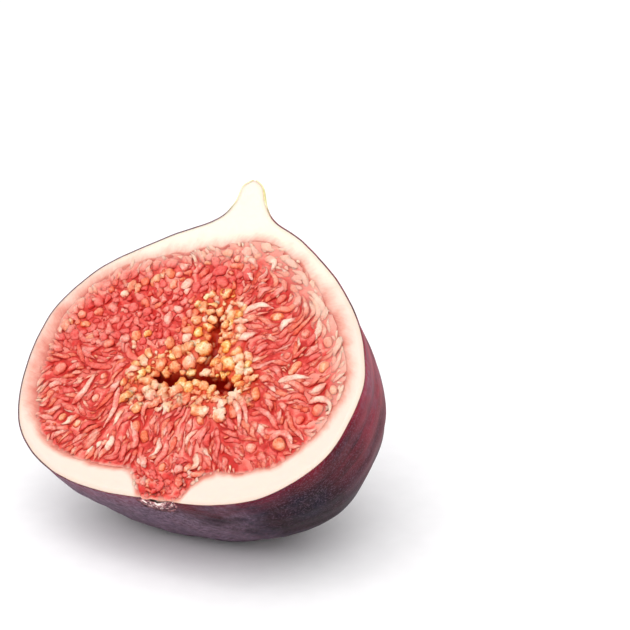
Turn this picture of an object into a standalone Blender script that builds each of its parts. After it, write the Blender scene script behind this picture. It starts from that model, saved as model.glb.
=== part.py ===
"""Half of a fresh dark fig, cut through the fruit's axis from the eye to the stalk and resting on its skin.

The fig frame has its origin at the eye, +X across the cut face, +Y along the axis to the stalk and +Z
out of the cut face. Shapes are worked out there in millimetres, and the empty "fruit" carries them, in
metres, to the pose in which the half rests: the face looks along -Y and up, and the skin is pressed flat
at z = 0.
"""

import math

import bpy
import numpy as np
from mathutils import Matrix, Vector, geometry

MM = 0.001
SEED = 7

# How the half lies: the face's normal above the horizon, and the stalk's lean across the face.
FACE_ELEVATION = math.radians(47)
STALK_LEAN = math.radians(12)
PRESSED = 1.9  # how far its own weight has flattened the fruit where it rests

# The cut face's outline, from the eye to the stalk's tip: left x, left y, right x, right y at each station.
STATIONS = np.array(
    [
        (0.0, 0.6, 0.0, 0.6),  # eye
        (-10.5, 1.4, 9.5, 0.5),  # flat base
        (-21.0, 4.4, 18.5, 3.0),
        (-28.7, 10.8, 26.0, 10.0),
        (-31.4, 20.5, 28.6, 20.0),  # widest
        (-30.1, 31.5, 26.6, 28.5),
        (-24.0, 39.8, 20.2, 37.8),  # shoulder
        (-14.0, 45.5, 12.0, 45.1),
        (-5.2, 49.1, 6.0, 48.8),  # root of the neck
        (-2.4, 52.0, 3.6, 51.8),
        (-1.7, 55.3, 2.1, 55.2),
        (0.2, 56.6, 0.2, 56.6),  # tip of the stalk
    ]
)
DEPTH_SHARE = 1.08  # depth behind the face against half the width: the cut runs just off the middle
FULLNESS = 0.03  # how much fuller than an ellipse each section is
RIB_HEIGHT = 0.3  # of the faint ridges that run from eye to stalk
REST_STEPS, REST_SPAN = 120, (0.02, 0.98)  # how finely the skin's lowest places are looked for, and where
RINGS, SIDES = 36, 22

# The layers, from the outside.
SKIN = 0.7
GAP = 0.3  # between two nodes that lie against each other
FLESH_INSET = SKIN + GAP

# The pulp: its outline on the face without the canal, its depth, and the canal that runs on to the eye.
PULP_OUTLINE = np.array(
    [
        (3.5, 45.4),
        (-9.5, 43.0),
        (-20.5, 39.5),
        (-27.0, 31.5),
        (-28.4, 22.0),
        (-25.6, 11.8),
        (-16.5, 6.5),
        (0.0, 5.6),
        (16.0, 6.7),
        (23.2, 13.0),
        (25.8, 21.5),
        (23.2, 29.0),
        (17.5, 36.8),
        (11.0, 42.8),
    ]
)
PULP_CENTRE = np.array([0.0, 23.0])
PULP_DEPTH = 28.5
PULP_PRESS_LEVEL = 3.4  # the pulp's height over the table where the fruit is flattened
PULP_EDGE_DEPTH = 0.5
PULP_SIDES, PULP_RINGS = 64, 8
CANAL_AT_EYE, CANAL_FLARE = 3.0, 0.6  # half width at the eye, and its growth per millimetre of depth
CANAL_END = 1.7
ROOM_PAST_EYE, ROOM_LID = 4, 3  # how far the space for the pulp is cut on past the eye and over the face

# The hollow at the fig's heart: its arms on the face as segments, their half width and their depth.
HOLLOW_ARMS = (((-5.5, 21.0), (6.0, 19.6)), ((0.0, 30.5), (0.8, 21.0)))
HOLLOW_REACH, HOLLOW_DEPTH = 3.2, 4.5

# The florets, drawn larger than life: their drops lie round the hollow and end at the flesh.
FLORET_WIDTH, FLORET_LENGTH, SEED_LENGTH = 1.9, 4.4, 2.2
FLORET_SIZES = (1.0, 0.8, 0.62)  # laid in this order, so that the small ones fill the gaps
FLORET_TRIES = 8000  # for each size
FLORET_APART = 0.85  # 1 keeps two florets from touching, and less lets them lap
FLORET_RIM = 6  # points round each floret
FLORET_BACK = (-0.4, 0.3)  # where its two highest points lie, as shares of its half length
FLORET_HEIGHT, VALLEY = 0.5, -0.5
PULP_MARGIN = 0.35  # of plain pulp between the florets and the flesh

# The plug of small scales that closes the eye: rows from the middle out, as (outer radius, count).
SCALE_ROWS = ((1.2, 2), (2.3, 4), (3.3, 6))
SCALE_HEIGHT, SCALE_STEP = 0.35, 0.25
EYE_TOP, EYE_BOTTOM = 1.35, 0.5
SCALE_SIDES = 4  # facets across a scale of the outer row


# ---------------------------------------------------------------- curves and surfaces, in millimetres


def through(points, at, closed=False):
    """Catmull-Rom curve through the points; at runs from 0 to 1 along it."""
    count = len(points)
    spans = count if closed else count - 1
    place = np.clip(np.asarray(at, float), 0, 1) * spans
    first = np.minimum(place.astype(int), spans - 1)
    part = (place - first)[..., None]
    pick = (lambda i: points[i % count]) if closed else (lambda i: points[np.clip(i, 0, count - 1)])
    a, b, c, d = (pick(first + step) for step in (-1, 0, 1, 2))
    return 0.5 * (
        2 * b
        + (c - a) * part
        + (2 * a - 5 * b + 4 * c - d) * part**2
        + (3 * b - a - 3 * c + d) * part**3
    )


def body(along, around):
    """A point of the fruit without its ribs: along from eye to tip, around from right rim to left."""
    station = through(STATIONS, along)
    left, right = station[..., :2], station[..., 2:]
    middle, half = (left + right) / 2, (right - left) / 2
    full = 1 + FULLNESS * np.sin(2 * around) ** 2
    across = middle + half * (np.cos(around) * full)[..., None]
    depth = DEPTH_SHARE * np.linalg.norm(half, axis=-1) * np.sin(around) * full
    return np.concatenate([across, -depth[..., None]], axis=-1)


def outward(along, around):
    """The unit normal of the fruit, by small steps both ways."""
    step = 1e-4
    slope_along = body(along + step, around) - body(along - step, around)
    slope_around = body(along, around + step) - body(along, around - step)
    normal = np.cross(slope_around, slope_along)
    return normal / np.linalg.norm(normal, axis=-1, keepdims=True)


def layer(inset):
    """The surface inset under the skin's outside: the eye's pole, rings of points and the tip's pole."""
    along, around = np.meshgrid(
        (np.arange(RINGS) + 0.5) / RINGS, np.linspace(0, math.pi, SIDES + 1), indexing="ij"
    )
    ribs = RIB_HEIGHT * np.sin(math.pi * along) ** 2 * (np.cos(9 * around) + np.cos(13 * around + 1))
    rings = body(along, around) + outward(along, around) * (ribs - inset)[..., None]
    rings[:, (0, -1), 2] = 0
    eye = np.array([STATIONS[0, 0], STATIONS[0, 1] + inset, 0])
    tip = np.array([STATIONS[-1, 0], STATIONS[-1, 1] - inset, 0])
    return pressed(np.concatenate([[eye], rings.reshape(-1, 3), [tip]]), inset)


# ---------------------------------------------------------------- how the half lies on the table


def turned():
    """The turn from the fig frame to the resting pose."""
    up_slope = Vector((0, math.sin(FACE_ELEVATION), math.cos(FACE_ELEVATION)))
    normal = Vector((0, -math.cos(FACE_ELEVATION), math.sin(FACE_ELEVATION)))
    level = Matrix((up_slope.cross(normal), up_slope, normal)).transposed()
    return level @ Matrix.Rotation(STALK_LEAN, 3, "Z")


TURN = np.array(turned())


def resting_place():
    """The eye's place, with the table's plane PRESSED into the body and the flat's middle at the origin."""
    along, around = np.meshgrid(np.linspace(*REST_SPAN, REST_STEPS), np.linspace(0, math.pi, REST_STEPS))
    points = body(along, around).reshape(-1, 3) @ TURN.T
    height = -points[:, 2].min() - PRESSED
    under = points[points[:, 2] < -height]
    middle = (under.min(axis=0) + under.max(axis=0)) / 2
    return np.array([-middle[0], -middle[1], height])


PLACE = resting_place()


def pressed(points, level):
    """The points with those that would lie lower than level over the table raised to it."""
    world = points @ TURN.T + PLACE
    world[:, 2] = np.maximum(world[:, 2], level)
    return (world - PLACE) @ TURN


# ---------------------------------------------------------------- meshes


def add_object(name, points, faces, paint=None):
    """A mesh object of the fig frame's points, carried by the empty "fruit"."""
    mesh = bpy.data.meshes.new(name)
    mesh.from_pydata([tuple(p * MM) for p in points], [], faces)
    mesh.validate()
    made = bpy.data.objects.new(name, mesh)
    bpy.context.collection.objects.link(made)
    made.parent = bpy.data.objects["fruit"]
    if paint:
        mesh.materials.append(paint)
        mesh.shade_smooth()
        mesh.set_sharp_from_angle(angle=math.radians(40))
    else:
        made.hide_render = True
        made.display_type = "WIRE"
    return made


def halves(a, b, c, d):
    """A quad as two triangles, split alike in every layer so that neighbours keep their distance."""
    return [(a, b, c), (a, c, d)]


def layer_faces(start=0, inner=False):
    """The faces of one layer's points, facing outwards, or inwards for an inner wall."""
    row = SIDES + 1
    eye, tip = start, start + 1 + RINGS * row
    faces = []
    for i in range(SIDES):
        faces.append((eye, start + 2 + i, start + 1 + i))
        last = start + 1 + (RINGS - 1) * row + i
        faces.append((last, last + 1, tip))
        for ring in range(RINGS - 1):
            corner = start + 1 + ring * row + i
            faces += halves(corner, corner + 1, corner + row + 1, corner + row)
    return [face[::-1] for face in faces] if inner else faces


def rim(start=0):
    """The indices round a layer's edge on the cut face: from the eye up its right and down its left."""
    row = SIDES + 1
    right = [start + 1 + ring * row for ring in range(RINGS)]
    left = [corner + SIDES for corner in reversed(right)]
    return [start, *right, start + 1 + RINGS * row, *left]


def cut_by(made, cutter):
    """Takes the cutter's space out of an object."""
    cut = made.modifiers.new("cut", "BOOLEAN")
    cut.operation = "DIFFERENCE"
    cut.solver = "EXACT"
    cut.object = cutter


def add_skin(paint, room):
    """The peel: a shell between two layers, closed by a strip along the cut."""
    outer, inner = layer(0), layer(SKIN)
    start = len(outer)
    faces = layer_faces() + layer_faces(start, inner=True)
    edge, inner_edge = rim(), rim(start)
    for i in range(len(edge)):
        j = (i + 1) % len(edge)
        faces.append((edge[i], edge[j], inner_edge[j], inner_edge[i]))
    cut_by(add_object("skin", np.concatenate([outer, inner]), faces, paint), room)


def add_flesh(paint, room):
    """The pale wall under the skin with the stalk's core, hollowed out for the pulp."""
    cut_by(add_object("flesh", layer(FLESH_INSET), [*layer_faces(), tuple(rim())], paint), room)


# ---------------------------------------------------------------- the pulp


def pulp_reach(angles, outset, end):
    """Distance from the pulp's centre to its edge at each angle, without and with the canal."""
    fine = through(PULP_OUTLINE, np.linspace(0, 1, 400), closed=True) - PULP_CENTRE
    order = np.argsort(np.arctan2(fine[:, 1], fine[:, 0]))
    at, reach = np.arctan2(fine[order, 1], fine[order, 0]), np.linalg.norm(fine[order], axis=1)
    plain = np.interp(angles, at, reach, period=2 * math.pi) + outset
    off_axis, down = np.abs(np.cos(angles)), np.maximum(-np.sin(angles), 1e-6)
    half = CANAL_AT_EYE + outset + CANAL_FLARE * PULP_CENTRE[1]
    side = half / (off_axis + CANAL_FLARE * down)
    canal = np.where(np.sin(angles) < 0, np.minimum(side, (PULP_CENTRE[1] - end) / down), 0)
    return plain, np.maximum(plain, canal)


def pulp_bottom(places, plain_share, outset):
    """Depth of the pulp's underside: the round bowl, or the canal's half cone where that is deeper."""
    bowl = (PULP_DEPTH + outset) * np.sqrt(np.clip(1 - plain_share**2, 0, 1))
    radius = CANAL_AT_EYE + outset + CANAL_FLARE * np.clip(places[:, 1], 0, PULP_OUTLINE[:, 1].min())
    cone = np.sqrt(np.clip(radius**2 - places[:, 0] ** 2, 0, None)) * (places[:, 1] < PULP_CENTRE[1])
    return -np.maximum(np.maximum(bowl, cone), PULP_EDGE_DEPTH + outset)


def bowl_ring(turn, outset, end):
    """One ring of the pulp's underside: turn is 0 at its edge and a right angle at the deepest point."""
    angles = np.linspace(-math.pi, math.pi, PULP_SIDES, endpoint=False)
    plain, reach = pulp_reach(angles, outset, end)
    spread = reach * math.cos(turn)
    places = PULP_CENTRE + spread[:, None] * np.column_stack([np.cos(angles), np.sin(angles)])
    return np.column_stack([places, pulp_bottom(places, spread / plain, outset)])


def bowl_points(outset, end):
    """Rings of the pulp's underside from its edge down to the deepest point."""
    turns = np.linspace(0, math.pi / 2, PULP_RINGS, endpoint=False)
    rings = [bowl_ring(turn, outset, end) for turn in turns]
    lowest = np.array([[*PULP_CENTRE, -PULP_DEPTH - outset]])
    return pressed(np.concatenate([*rings, lowest]), PULP_PRESS_LEVEL - outset)


def bowl_faces(start=0):
    """The faces of the pulp's underside, whose points are numbered from start."""
    faces = []
    for i in range(PULP_SIDES):
        j = (i + 1) % PULP_SIDES
        for ring in range(start, start + (PULP_RINGS - 1) * PULP_SIDES, PULP_SIDES):
            faces += halves(ring + i, ring + PULP_SIDES + i, ring + PULP_SIDES + j, ring + j)
        last = start + (PULP_RINGS - 1) * PULP_SIDES
        faces.append((last + i, last + PULP_SIDES, last + j))
    return faces


def add_room():
    """The cutter for the pulp and its canal, which runs on out of the eye."""
    mouth = bowl_ring(0, GAP, STATIONS[0, 1] - ROOM_PAST_EYE)
    lid = mouth * (1, 1, 0) + (0, 0, ROOM_LID)
    points = np.concatenate([lid, mouth, bowl_points(GAP, CANAL_END - GAP)])
    faces = [*bowl_faces(2 * PULP_SIDES), tuple(range(PULP_SIDES))]
    for ring in (0, PULP_SIDES):
        for i in range(PULP_SIDES):
            j = (i + 1) % PULP_SIDES
            faces += halves(ring + i, ring + PULP_SIDES + i, ring + PULP_SIDES + j, ring + j)
    return add_object("pulp_room", points, faces)


def hollow(places):
    """How far the hollow at the heart sinks at each place, from 0 to 1."""
    found = np.zeros(len(places))
    for start, end in np.array(HOLLOW_ARMS):
        run = end - start
        share = np.clip((places - start) @ run / (run @ run), 0, 1)
        away = np.linalg.norm(places - start - share[:, None] * run, axis=1)
        near = np.clip(1 - away / HOLLOW_REACH, 0, 1)
        found = np.maximum(found, near * near * (3 - 2 * near))
    return found


def place_florets():
    """Seeded draws of florets, each as its x, y, direction, half length and half width."""
    rng = np.random.default_rng(SEED)
    florets = np.zeros((0, 5))
    for size in FLORET_SIZES:
        for _ in range(FLORET_TRIES):
            angle = rng.uniform(-math.pi, math.pi)
            share = math.sqrt(rng.uniform(0, 1))
            reach = pulp_reach(np.array([angle]), -PULP_MARGIN, CANAL_END + PULP_MARGIN)[1][0]
            place = PULP_CENTRE + share * reach * np.array([math.cos(angle), math.sin(angle)])
            end_on = place[0] < 2 and place[1] > PULP_CENTRE[1] or share < 0.3
            long = (SEED_LENGTH if end_on else FLORET_LENGTH) * size * rng.uniform(0.9, 1.1) / 2
            wide = FLORET_WIDTH * size * rng.uniform(0.9, 1.1) / 2
            turn = angle + rng.uniform(-0.3, 0.3)
            if share * reach + long > reach:
                continue
            shift = place - florets[:, :2]
            mean = (florets[:, 2] + turn) / 2
            lie = shift[:, 0] * np.cos(mean) + shift[:, 1] * np.sin(mean)
            off = np.hypot(*shift.T) ** 2 - lie**2
            apart = (lie / (florets[:, 3] + long)) ** 2 + off / (florets[:, 4] + wide) ** 2
            if np.all(apart > FLORET_APART):
                florets = np.vstack([florets, (*place, turn, long, wide)])
    return florets


def floret_points(florets):
    """For each floret two points on its back and a rim in the valleys round it, with their heights."""
    along = np.column_stack([np.cos(florets[:, 2]), np.sin(florets[:, 2])])
    beside = np.column_stack([-along[:, 1], along[:, 0]])
    long, wide = florets[:, 3:4], florets[:, 4:5]
    backs = [florets[:, :2] + along * long * share for share in FLORET_BACK]
    rims = []
    for turn in np.arange(FLORET_RIM) * 2 * math.pi / FLORET_RIM:
        rims.append(florets[:, :2] + along * long * math.cos(turn) + beside * wide * math.sin(turn))
    tops, valleys = np.concatenate(backs), np.concatenate(rims)
    heights = np.concatenate([np.full(len(tops), FLORET_HEIGHT), np.full(len(valleys), VALLEY)])
    return np.concatenate([tops, valleys]), heights


def add_pulp(paint):
    """The red pulp: a bowl-shaped body whose top is raised into the florets and sinks at the heart."""
    bottom = bowl_points(0, CANAL_END)
    edge = bottom[:PULP_SIDES, :2]
    inside, heights = floret_points(place_florets())
    heights = heights - HOLLOW_DEPTH * hollow(inside)
    offset = inside - PULP_CENTRE
    reach = pulp_reach(np.arctan2(offset[:, 1], offset[:, 0]), -PULP_MARGIN, CANAL_END + PULP_MARGIN)[1]
    kept = np.hypot(*offset.T) < reach
    inside, heights = inside[kept], heights[kept]
    flat = [Vector(p) for p in np.concatenate([edge, inside])]
    ring = [(i, (i + 1) % PULP_SIDES) for i in range(PULP_SIDES)]
    found, _, triangles, origins, _, _ = geometry.delaunay_2d_cdt(flat, ring, [], 1, 1e-4)
    top_heights = np.concatenate([np.zeros(PULP_SIDES), heights])
    top = np.array([(*p, top_heights[origin[0]]) for p, origin in zip(found, origins)])
    start = len(bottom)
    where = {origin: start + i for i, origins_of in enumerate(origins) for origin in origins_of}
    walls = [(where[i], i, j, where[j]) for i, j in ring]
    faces = [*bowl_faces(), *walls, *(tuple(start + i for i in face) for face in triangles)]
    add_object("pulp", np.concatenate([bottom, top]), faces, paint)


# ---------------------------------------------------------------- the eye


def scale_relief(radius, around):
    """How far the plug stands out: each row laps over the next one out, and each scale is domed."""
    inner = 0
    for row, (outer, count) in enumerate(SCALE_ROWS):
        if radius <= outer:
            across = abs(math.sin(around * count)) ** 0.6
            down = 1 - (radius - inner) / (outer - inner)
            return SCALE_HEIGHT * across * (0.4 + 0.6 * down) + SCALE_STEP * (len(SCALE_ROWS) - 1 - row)
        inner = outer
    return 0


def add_eye_scales(paint):
    """The half rosette of scales in the eye, raised from the outside of the plug that they grow from."""
    turns = SCALE_SIDES * SCALE_ROWS[-1][1]
    radii = [0.0]
    for (inner, _), (outer, _) in zip(((0, 0), *SCALE_ROWS), SCALE_ROWS):
        radii += [inner + 0.04, (inner + outer) / 2, outer]
    points = []
    for y in (EYE_TOP, None):
        for radius in radii[1:]:
            for i in range(turns + 1):
                around = math.pi * i / turns
                out = EYE_BOTTOM - scale_relief(radius, around) if y is None else y
                points.append((radius * math.cos(around), out, -radius * math.sin(around)))
    row, half = turns + 1, len(points) // 2
    faces = []
    for ring in range(len(radii) - 2):
        for i in range(turns):
            corner = ring * row + i
            faces += halves(corner, corner + row, corner + row + 1, corner + 1)
            corner += half
            faces += halves(corner, corner + 1, corner + row + 1, corner + row)
    last = (len(radii) - 2) * row
    for i in range(turns):
        faces += halves(last + i, last + half + i, last + half + i + 1, last + i + 1)
    edge = [ring * row for ring in range(len(radii) - 1)]
    left = [corner + turns for corner in edge]
    top = [*reversed(left), *edge]
    faces.append((*reversed(top), *(half + corner for corner in top)))
    inner_ring = range(turns + 1)
    faces.append(tuple(inner_ring))
    faces.append(tuple(half + i for i in reversed(inner_ring)))
    add_object("eye_scales", np.array(points), faces, paint)


# ---------------------------------------------------------------- the object


def add_material(name, colour, roughness):
    """A plain material with a linear colour."""
    made = bpy.data.materials.new(name)
    made.use_nodes = True
    shader = made.node_tree.nodes["Principled BSDF"]
    shader.inputs["Base Color"].default_value = (*colour, 1)
    shader.inputs["Roughness"].default_value = roughness
    shader.inputs["Metallic"].default_value = 0
    return made


def add_fruit():
    """The empty that carries every piece from the fig frame to the table."""
    fruit = bpy.data.objects.new("fruit", None)
    fruit.matrix_world = Matrix.Translation(Vector(PLACE * MM)) @ Matrix(TURN.tolist()).to_4x4()
    bpy.context.collection.objects.link(fruit)


def main():
    for old in list(bpy.data.objects):
        bpy.data.objects.remove(old)
    add_fruit()
    room = add_room()
    add_skin(add_material("skin", (0.075, 0.028, 0.065), 0.5), room)
    add_flesh(add_material("flesh", (0.93, 0.78, 0.58), 0.45), room)
    add_pulp(add_material("pulp", (0.62, 0.08, 0.06), 0.3))
    add_eye_scales(add_material("eye_scales", (0.45, 0.18, 0.17), 0.6))


main()
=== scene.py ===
"""Half of a fresh dark fig that rests on its skin: waxy peel, cream flesh, wet red pulp and its florets.

The fig frame has its origin at the eye, +X across the cut face, +Y to the stalk and +Z out of the cut face.
Shapes are worked out there in millimetres, and fruit_to_table carries them to where the half lies.
"""

import math
from functools import partial

import bpy
import numpy as np
from mathutils import Matrix, Vector


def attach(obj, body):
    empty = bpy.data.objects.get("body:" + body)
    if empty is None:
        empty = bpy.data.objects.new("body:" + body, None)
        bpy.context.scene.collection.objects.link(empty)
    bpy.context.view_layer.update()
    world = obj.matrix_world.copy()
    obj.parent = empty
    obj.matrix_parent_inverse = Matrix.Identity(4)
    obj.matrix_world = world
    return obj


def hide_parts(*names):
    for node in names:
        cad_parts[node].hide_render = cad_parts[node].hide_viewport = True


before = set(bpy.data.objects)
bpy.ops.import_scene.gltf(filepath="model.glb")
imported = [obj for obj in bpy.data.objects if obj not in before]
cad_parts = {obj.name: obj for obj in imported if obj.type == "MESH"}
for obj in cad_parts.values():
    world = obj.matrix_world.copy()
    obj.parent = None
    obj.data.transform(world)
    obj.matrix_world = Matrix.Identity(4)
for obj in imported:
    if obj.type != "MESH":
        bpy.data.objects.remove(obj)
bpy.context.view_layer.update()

MM = 0.001
TAU = 2 * math.pi

# ---------------- the fruit's own sizes, in millimetres

FACE_ELEVATION = math.radians(47)  # of the cut face's normal over the table
STALK_LEAN = math.radians(12)  # across the face
PRESSED = 1.9  # how far its own weight has flattened the fruit where it rests
REST_STEPS, REST_SPAN = 120, (0.02, 0.98)  # how finely the skin's lowest places are looked for, and where

# The cut face's outline, from the eye to the stalk's tip: left x, left y, right x, right y at each station.
STATIONS = np.array((
    (0.0, 0.6, 0.0, 0.6),  # eye
    (-10.5, 1.4, 9.5, 0.5),
    (-21.0, 4.4, 18.5, 3.0),
    (-28.7, 10.8, 26.0, 10.0),
    (-31.4, 20.5, 28.6, 20.0),  # widest
    (-30.1, 31.5, 26.6, 28.5),
    (-24.0, 39.8, 20.2, 37.8),  # shoulder
    (-14.0, 45.5, 12.0, 45.1),
    (-5.2, 49.1, 6.0, 48.8),  # root of the neck
    (-2.4, 52.0, 3.6, 51.8),
    (-1.7, 55.3, 2.1, 55.2),
    (0.2, 56.6, 0.2, 56.6),  # tip of the stalk
))
DEPTH_SHARE = 1.08  # depth behind the face against half the width
FULLNESS = 0.03  # how much fuller than an ellipse each section is
RIB_HEIGHT = 0.3  # of the faint ribs that run from eye to stalk
FRUIT_LENGTH, FRUIT_GIRTH = 75.0, 95.0  # along the skin from eye to stalk, and half way round the back
PEEL = 0.2  # the dark outer peel alone

PULP_OUTLINE = np.array((
    (3.5, 45.4), (-9.5, 43.0), (-20.5, 39.5), (-27.0, 31.5), (-28.4, 22.0), (-25.6, 11.8), (-16.5, 6.5),
    (0.0, 5.6), (16.0, 6.7), (23.2, 13.0), (25.8, 21.5), (23.2, 29.0), (17.5, 36.8), (11.0, 42.8),
))
PULP_CENTRE = np.array([0.0, 23.0])
CANAL_AT_EYE, CANAL_FLARE = 3.0, 0.6  # half width at the eye, and its growth per millimetre inward
CANAL_END = 0.6  # its distance from the eye's origin
CORNER = 0.6  # how softly the canal's sides turn into the pulp's lower edge

# The hollow at the heart: its arms on the face, one segment a row, and the pit near its right end.
HOLLOW_ARMS = np.array((
    ((0.7, 32.0), (0.9, 29.6)),
    ((0.9, 29.6), (1.6, 26.2)),
    ((1.6, 26.2), (-0.1, 22.6)),
    ((-7.5, 20.9), (-0.2, 21.7)),
    ((-0.2, 21.9), (6.0, 20.5)),
))
PIT = np.array([5.0, 20.6])
BOWL_REACH, BOWL_DEPTH = 4.2, 0.8  # how far the shallow bowl reaches from the arms, and how deep it is
HOLLOW_DEPTH, CREVICE = 4.2, 1.6  # how deep the crevices along the arms are, and how far their sides slope

# Seeds that the knife laid open: x, y and radius.
SEEDS = (
    (-24.6, 21.6, 0.9), (-16.2, 20.8, 0.55), (-16.4, 17.0, 0.65), (-21.4, 13.4, 0.55),
    (-18.3, 12.4, 0.65), (-7.7, 12.5, 0.75), (-5.7, 11.0, 0.75), (-1.0, 6.2, 0.6),
    (3.1, 14.3, 0.65), (11.3, 19.2, 0.7), (13.1, 10.3, 0.8), (17.6, 11.2, 0.9),
    (19.9, 15.3, 0.65), (22.4, 17.1, 0.95), (24.0, 20.6, 0.6), (21.5, 24.2, 0.8),
    (16.7, 23.8, 0.75), (14.8, 25.8, 0.65), (21.0, 28.4, 0.65), (16.9, 29.6, 0.75),
    (11.2, 32.3, 0.7), (11.0, 35.4, 0.6),
)
# The fattest florets round the hollow: x, y, radius, how pale and how orange each is.
HEART_GLOBES = (
    (-1.8, 29.2, 0.8, 0.6, 1.0), (-0.2, 26.5, 1.15, 0.8, 0.95), (-3.4, 28.0, 0.75, 1.2, 0.3),
    (-4.3, 25.6, 0.8, 1.0, 0.5), (-6.2, 27.0, 0.8, 0.9, 0.45), (-6.7, 23.4, 0.85, 0.9, 0.4),
    (-4.2, 23.2, 0.95, 0.9, 0.5), (-1.9, 23.9, 1.0, 0.8, 0.5), (3.9, 27.0, 0.75, 0.4, 1.0),
    (5.1, 24.2, 0.95, 0.3, 0.8), (6.8, 24.9, 0.8, 0.7, 0.5), (8.3, 25.4, 0.7, 0.9, 0.4),
    (2.6, 24.3, 0.7, 0.1, 0.7), (1.6, 20.2, 0.8, 0.1, 0.6), (-0.8, 19.8, 0.85, 0.5, 0.8),
    (7.9, 20.9, 0.65, 0.5, 0.7), (9.2, 21.6, 0.6, 0.6, 0.4), (3.2, 32.4, 0.8, 1.0, 0.6),
    (2.4, 30.9, 0.7, 1.0, 0.7), (5.6, 29.9, 0.8, 1.1, 0.3), (3.6, 29.0, 0.7, 1.0, 0.5),
    (-10.6, 28.4, 0.65, 0.4, 0.8), (-2.8, 31.2, 0.8, 0.7, 0.5), (-0.9, 33.0, 0.7, 0.6, 0.6),
)
# The palest florets, which stand out from the rest: points along each.
PALE_FLORETS = (
    ((-12.8, 18.9), (-12.4, 15.5), (-13.4, 12.0)),
    ((6.9, 18.9), (8.9, 18.3), (10.4, 16.4), (11.4, 13.6)),
    ((7.8, 17.9), (9.5, 15.9), (10.2, 13.0)),
    ((-7.9, 32.6), (-7.4, 29.8)),
    ((6.2, 42.3), (8.1, 41.7), (7.9, 39.9)),
    ((20.6, 18.0), (22.4, 18.9), (24.2, 18.2), (24.4, 16.4)),
    ((15.9, 11.6), (17.3, 13.1), (19.2, 12.2), (19.9, 9.9)),
    ((14.6, 21.4), (17.4, 22.3), (20.2, 22.2)),
    ((-20.3, 15.7), (-18.9, 17.9), (-17.7, 21.6)),
    ((-7.6, 8.9), (-6.8, 10.2), (-9.0, 13.6)),
    ((5.2, 32.6), (7.6, 34.2), (10.3, 33.7)),
    ((3.4, 40.0), (5.2, 38.5)),
    ((5.4, 28.0), (8.4, 29.4)),
)


# ---------------- curves and surfaces


def through(points, at, closed=False):
    """Catmull-Rom curve through the points; at runs from 0 to 1 along it."""
    count = len(points)
    spans = count if closed else count - 1
    place = np.clip(np.asarray(at, float), 0, 1) * spans
    first = np.minimum(place.astype(int), spans - 1)
    part = (place - first)[..., None]
    pick = (lambda i: points[i % count]) if closed else (lambda i: points[np.clip(i, 0, count - 1)])
    a, b, c, d = (pick(first + step) for step in (-1, 0, 1, 2))
    bend = (2 * a - 5 * b + 4 * c - d) * part**2
    return 0.5 * (2 * b + (c - a) * part + bend + (3 * b - a - 3 * c + d) * part**3)


def body(along, around):
    """A point of the fruit without its ribs: along from eye to tip, around from right rim to left."""
    station = through(STATIONS, along)
    left, right = station[..., :2], station[..., 2:]
    middle, half = (left + right) / 2, (right - left) / 2
    full = 1 + FULLNESS * np.sin(2 * around) ** 2
    across = middle + half * (np.cos(around) * full)[..., None]
    depth = DEPTH_SHARE * np.linalg.norm(half, axis=-1) * np.sin(around) * full
    return np.concatenate([across, -depth[..., None]], axis=-1)


def outward(along, around):
    """The unit normal of the fruit, by small steps both ways."""
    step = 1e-4
    slope_along = body(along + step, around) - body(along - step, around)
    slope_around = body(along, around + step) - body(along, around - step)
    normal = np.cross(slope_around, slope_along)
    return normal / np.linalg.norm(normal, axis=-1, keepdims=True)


def turned():
    """The turn from the fig frame to the pose in which the half lies."""
    up_slope = Vector((0, math.sin(FACE_ELEVATION), math.cos(FACE_ELEVATION)))
    normal = Vector((0, -math.cos(FACE_ELEVATION), math.sin(FACE_ELEVATION)))
    level = Matrix((up_slope.cross(normal), up_slope, normal)).transposed()
    return level @ Matrix.Rotation(STALK_LEAN, 3, "Z")


TURN = np.array(turned())


def resting_place():
    """The eye's place, with the table's plane PRESSED into the body and the flat's middle at the origin."""
    along, around = np.meshgrid(np.linspace(*REST_SPAN, REST_STEPS), np.linspace(0, math.pi, REST_STEPS))
    points = body(along, around).reshape(-1, 3) @ TURN.T
    height = -points[:, 2].min() - PRESSED
    under = points[points[:, 2] < -height]
    middle = (under.min(axis=0) + under.max(axis=0)) / 2
    return np.array([-middle[0], -middle[1], height])


PLACE = resting_place()


def fruit_to_table(points, level=0.0):
    """Fig-frame millimetres to metres on the table, kept at least level millimetres above it."""
    world = points @ TURN.T + PLACE
    world[..., 2] = np.maximum(world[..., 2], level)
    return world * MM


def ripple(points, size, seed):
    """Smooth noise between about -1 and 1: nine waves about size millimetres long that cross each other."""
    rng = np.random.default_rng(seed)
    total = np.zeros(points.shape[:-1])
    waves = 9
    for _ in range(waves):
        way = rng.normal(size=points.shape[-1])
        way /= np.linalg.norm(way)
        length = size * rng.uniform(0.7, 1.6)
        total += np.sin(points @ way * TAU / length + rng.uniform(0, TAU))
    return total / math.sqrt(waves) / 1.4


def smooth(value, low, high):
    """0 below low, 1 above high and a soft step between them."""
    share = np.clip((value - low) / (high - low), 0, 1)
    return share * share * (3 - 2 * share)


def toward(turns):
    """Unit vectors at angles."""
    return np.stack([np.cos(turns), np.sin(turns)], axis=-1)


def pulp_outline():
    """The pulp's outline without its canal, as angles and distances from its centre."""
    fine = through(PULP_OUTLINE, np.linspace(0, 1, 400), closed=True) - PULP_CENTRE
    order = np.argsort(np.arctan2(fine[:, 1], fine[:, 0]))
    return np.arctan2(fine[order, 1], fine[order, 0]), np.linalg.norm(fine[order], axis=1)


OUTLINE_ANGLES, OUTLINE_REACH = pulp_outline()


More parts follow.
